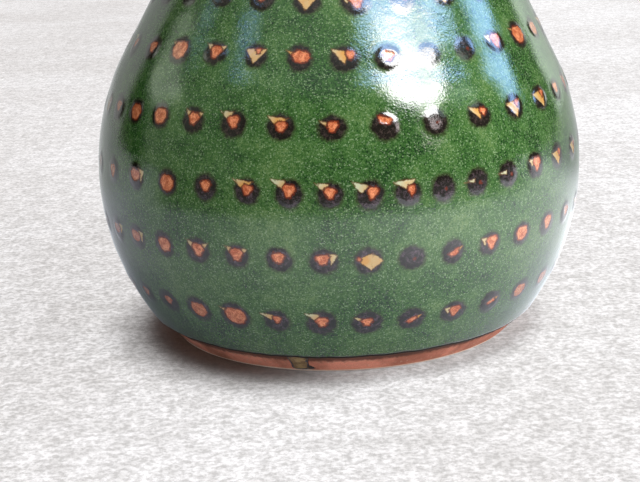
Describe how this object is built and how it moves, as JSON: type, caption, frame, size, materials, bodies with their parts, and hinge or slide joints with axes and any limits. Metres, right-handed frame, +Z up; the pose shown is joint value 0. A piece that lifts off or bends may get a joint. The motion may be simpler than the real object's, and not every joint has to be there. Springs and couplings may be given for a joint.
{
  "type": "ceramic bud vase",
  "caption": "Small hand-thrown bud vase with a ball-shaped belly, sloping shoulder, narrow neck and flared lip, green glazed, with rows of dark slip dots.",
  "frame": {"origin": "on the table, directly below the middle of the belly", "axes": "+Z up; +X towards the side that the hand-thrown pot leans to; -Y towards the viewer's side with the glaze run"},
  "size_m": [0.0886, 0.0886, 0.1285],
  "materials": {
    "red_clay": "matte",
    "cream_slip": "matte",
    "green_glaze": "gloss",
    "liner_glaze": "gloss",
    "olive_glaze": "gloss",
    "dark_slip": "gloss"
  },
  "bodies": {
    "root": {"clay_body": "red_clay", "slip_coat": "cream_slip", "outer_glaze": "green_glaze", "inner_glaze": "liner_glaze", "glaze_run": "olive_glaze", "dab_row_1": "dark_slip", "dab_row_2": "dark_slip", "dab_row_3": "dark_slip", "dab_row_4": "dark_slip", "dab_row_5": "dark_slip", "dab_row_6": "dark_slip", "dab_row_7": "dark_slip", "dab_row_8": "dark_slip"}
  },
  "joints": []
}
